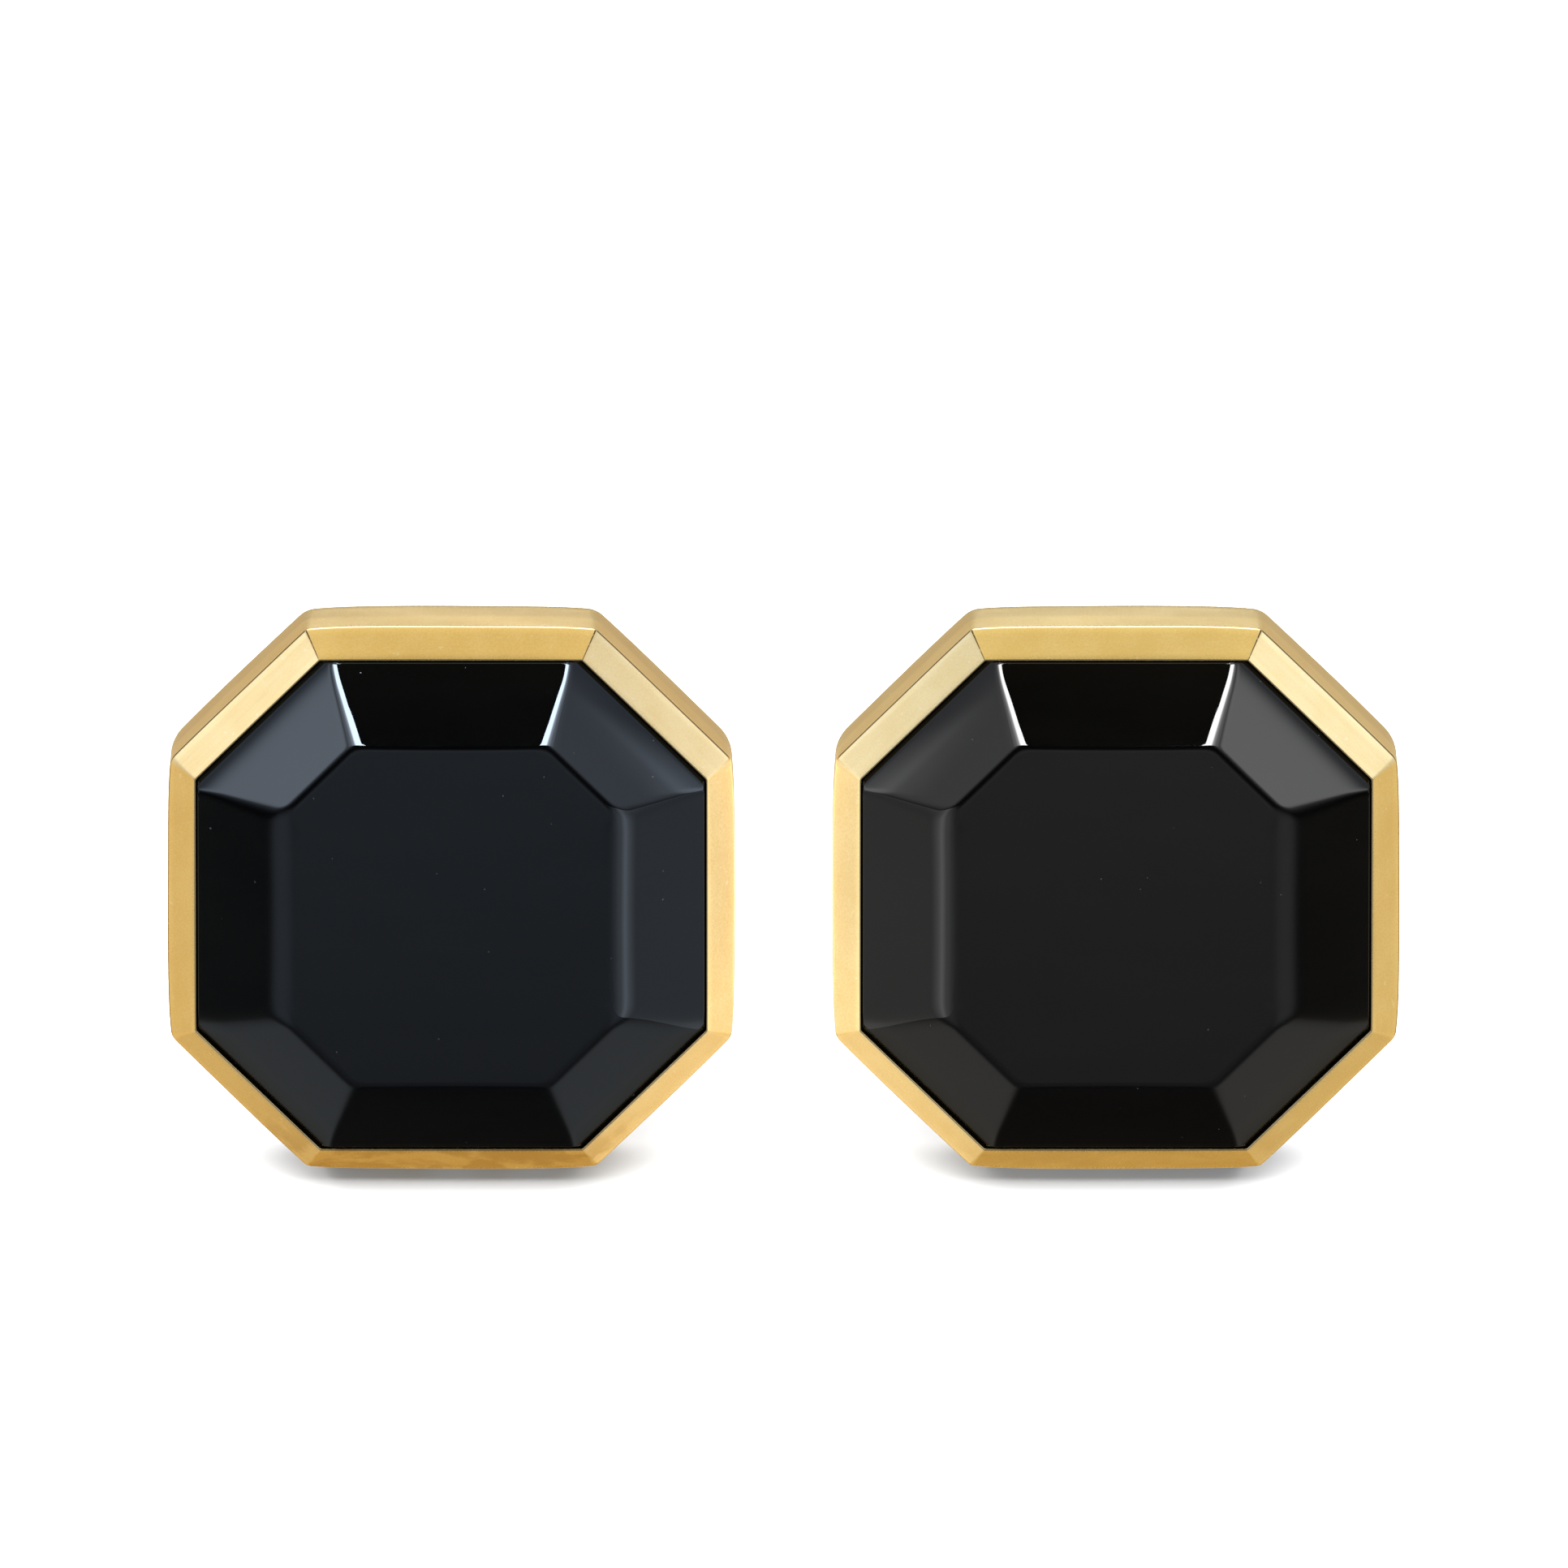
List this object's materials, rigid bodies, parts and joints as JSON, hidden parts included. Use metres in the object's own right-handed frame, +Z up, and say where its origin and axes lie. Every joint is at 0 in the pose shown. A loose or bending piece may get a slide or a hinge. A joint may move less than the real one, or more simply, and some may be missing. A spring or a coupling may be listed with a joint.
{
  "type": "cufflink pair",
  "caption": "Matching gold cufflinks with cut-corner square heads, faceted black stones, stirrup shanks and swivelling bullet toggles.",
  "frame": {"origin": "middle of the bounding box, on the ground that the pair stands on", "axes": "+X to the right of the picture along the pair, +Y away from the camera, +Z up"},
  "size_m": [0.037, 0.021, 0.0167],
  "materials": {
    "satin_gold": "satin, finely brushed gold plate",
    "satin_gold_back": "satin gold plate",
    "polished_gold": "polished gold plate",
    "pin_gold": "polished gold plate",
    "spring_steel": "plain spring steel",
    "black_onyx": "highly polished black stone",
    "setting_cement": "matte black setting cement"
  },
  "bodies": {
    "cufflink_pair": {"left_bezel_frame": "satin_gold", "left_onyx_stone": "black_onyx", "left_stone_cement": "setting_cement", "left_back_plate": "satin_gold_back", "left_shank_base": "satin_gold_back", "left_shank_frame": "polished_gold", "left_hinge_pin": "pin_gold", "left_detent_cam": "spring_steel", "right_bezel_frame": "satin_gold", "right_onyx_stone": "black_onyx", "right_stone_cement": "setting_cement", "right_back_plate": "satin_gold_back", "right_shank_base": "satin_gold_back", "right_shank_frame": "polished_gold", "right_hinge_pin": "pin_gold", "right_detent_cam": "spring_steel"},
    "left_toggle": {"left_detent_spring": "spring_steel", "left_toggle_barrel": "polished_gold", "left_toggle_cap_outer": "polished_gold", "left_toggle_cap_inner": "polished_gold"},
    "right_toggle": {"right_detent_spring": "spring_steel", "right_toggle_barrel": "polished_gold", "right_toggle_cap_outer": "polished_gold", "right_toggle_cap_inner": "polished_gold"}
  },
  "joints": [
    {"name": "left_toggle_swivel", "type": "hinge", "parent": "cufflink_pair", "child": "left_toggle", "pos_m": [-0.00996, 0.00767, 0.00358], "axis": [0, 0.3347, 0.9423], "continuous": true, "deforming": ["left_detent_spring"]},
    {"name": "right_toggle_swivel", "type": "hinge", "parent": "cufflink_pair", "child": "right_toggle", "pos_m": [0.00996, 0.00767, 0.00358], "axis": [0, 0.3347, 0.9423], "continuous": true, "deforming": ["right_detent_spring"]}
  ]
}
